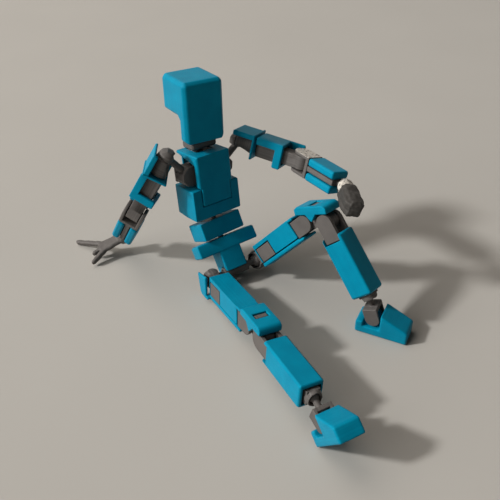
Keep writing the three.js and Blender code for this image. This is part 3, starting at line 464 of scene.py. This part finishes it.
def deepen_plank(mesh):
    """The pelvis shell with one straight bar as its plank's front, just proud of the block below."""
    place = pelvis_frame()
    points = [place.inverted() @ v.co for v in mesh.vertices]
    half, front, top = (max(p[k] for p in points) for k in range(3))
    inner, wall = PLANK_INNER * MM, front - PLANK_WALL * MM
    face = front + PLANK_PROUD * MM
    plan = [
        (-half, 0), (-inner, 0), (-inner, wall), (inner, wall),
        (inner, 0), (half, 0), (half, face), (-half, face),
    ]
    work = bmesh.new()
    base = work.faces.new([work.verts.new((x, y, top - PLANK_HEIGHT * MM)) for x, y in plan])
    raised = bmesh.ops.extrude_face_region(work, geom=[base])["geom"]
    lift = [v for v in raised if isinstance(v, bmesh.types.BMVert)]
    bmesh.ops.translate(work, verts=lift, vec=(0, 0, PLANK_HEIGHT * MM))
    bmesh.ops.recalc_face_normals(work, faces=work.faces)
    bmesh.ops.bevel(work, geom=work.edges, offset=PLANK_EDGE * MM, segments=1, affect="EDGES")
    bmesh.ops.transform(work, verts=work.verts, matrix=place)
    bar = bpy.data.meshes.new("plank_front")
    work.to_mesh(bar)
    work.free()
    tool = bpy.data.objects.new("plank_front", bar)
    bpy.context.collection.objects.link(tool)
    joined = applied(mesh, "BOOLEAN", operation="UNION", solver="EXACT", object=tool)
    bpy.data.objects.remove(tool)
    return joined


def round_edges(work, amount):
    """Rounds the outer edges that have room for it."""
    least = ROUND_LEAST * MM
    corner = math.radians(ROUND_CORNER)
    roomy = {v for v in work.verts if all(e.calc_length() > least for e in v.link_edges)}
    edges = [
        e for e in work.edges
        if e.is_manifold and e.calc_face_angle_signed(0.0) > corner and all(v in roomy for v in e.verts)
    ]
    bmesh.ops.bevel(
        work, geom=edges, offset=amount * MM, offset_type="OFFSET", segments=ROUND_STEPS,
        profile=ROUND_PROFILE, affect="EDGES", clamp_overlap=True,
    )
    bmesh.ops.remove_doubles(work, verts=work.verts, dist=WELD * MM)
    bmesh.ops.dissolve_degenerate(work, edges=work.edges, dist=WELD * MM)


def joint_of(body):
    """Where a body's joint is at rest."""
    return next(Vector(joint["pos_m"]) for joint in joints.values() if joint["child"] == body)


def softened(mesh, centre, times, *lumps):
    """A finely meshed copy of a mesh with soft edges, and lumps away from the joint at its centre."""
    fine = applied(mesh, "REMESH", mode="VOXEL", voxel_size=SOFT_MESH * MM)
    result = applied(fine, "SMOOTH", iterations=times)
    normals = [v.normal.copy() for v in result.vertices]
    for vertex, normal in zip(result.vertices, normals):
        away = (vertex.co - centre).length / MM
        share = min(1.0, max(0.0, (away - LUMP_START) / LUMP_FADE))
        rise = sum(noise.noise(vertex.co / (width * MM)) * height for width, height in lumps)
        vertex.co += normal * rise * share * MM
    return result


def finished_mesh(node, body):
    """A copy of a node's mesh with whole flat sides, and rounded edges or a softened surface."""
    mesh = frame["nodes"][node].data.copy()
    if node == "pelvis_shell":
        mesh = deepen_plank(mesh)
    work = bmesh.new()
    work.from_mesh(mesh)
    bmesh.ops.remove_doubles(work, verts=work.verts, dist=WELD * MM)
    bmesh.ops.dissolve_limit(
        work, angle_limit=math.radians(FLAT_ANGLE), use_dissolve_boundaries=False,
        verts=work.verts, edges=work.edges,
    )
    if node not in SOFTENED:
        round_edges(work, ROUND_HEAD if node == "head_shell" else ROUND)
    work.to_mesh(mesh)
    work.free()
    if node in SOFTENED:
        mesh = softened(mesh, joint_of(body), *SOFTENED[node])
    return mesh


def add_piece(node, body, material):
    """The piece that stands for a node, with its finish, its print layers and its scars."""
    mesh = finished_mesh(node, body)
    mesh.name = node + "_finish"
    mesh.materials.clear()
    mesh.materials.append(material)
    for name in [a.name for a in mesh.attributes if a.name in ("custom_normal", "sharp_edge")]:
        mesh.attributes.remove(mesh.attributes[name])
    mesh.shade_smooth()
    mesh.set_sharp_from_angle(angle=math.radians(SMOOTH_ANGLE))
    axis = print_axis(frame["nodes"][node].data)
    layer = mesh.attributes.new("layer", "FLOAT", "POINT")
    layer.data.foreach_set("value", [v.co.dot(axis) / MM for v in mesh.vertices])
    if node in SCARRED:
        mark_scars(mesh, *SCARRED[node])

    piece = bpy.data.objects.new(node + "_finish", mesh)
    bpy.context.collection.objects.link(piece)
    weighted = piece.modifiers.new("flat_sides", "WEIGHTED_NORMAL")
    weighted.keep_sharp = True
    weighted.weight = SIDE_WEIGHT
    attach(piece, body)
    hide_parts(node)


def is_grey(node):
    return "_frame" in node or "_link" in node or node.startswith("hand")


def finish_of(node):
    """The name of a node's finish."""
    # The left fist gets the grey darkened with painted shade
    if node == "hand_left":
        return "grey_painted_shade_fist"
    if node in SCARRED:
        return "grey_scarred"
    return "grey_plastic" if is_grey(node) else "teal_plastic"


behaviour = frame["record"]["behaviour"]
joints = {joint["name"]: joint for joint in behaviour["joints"]}

add_camera()
add_lights()
add_world()
add_floor()

materials = {name: printed_plastic(name, *finish) for name, finish in FINISHES.items()}
for body, nodes in behaviour["bodies"].items():
    for node in nodes:
        add_piece(node, body, materials[finish_of(node)])

bpy.context.scene.view_settings.view_transform = "Standard"
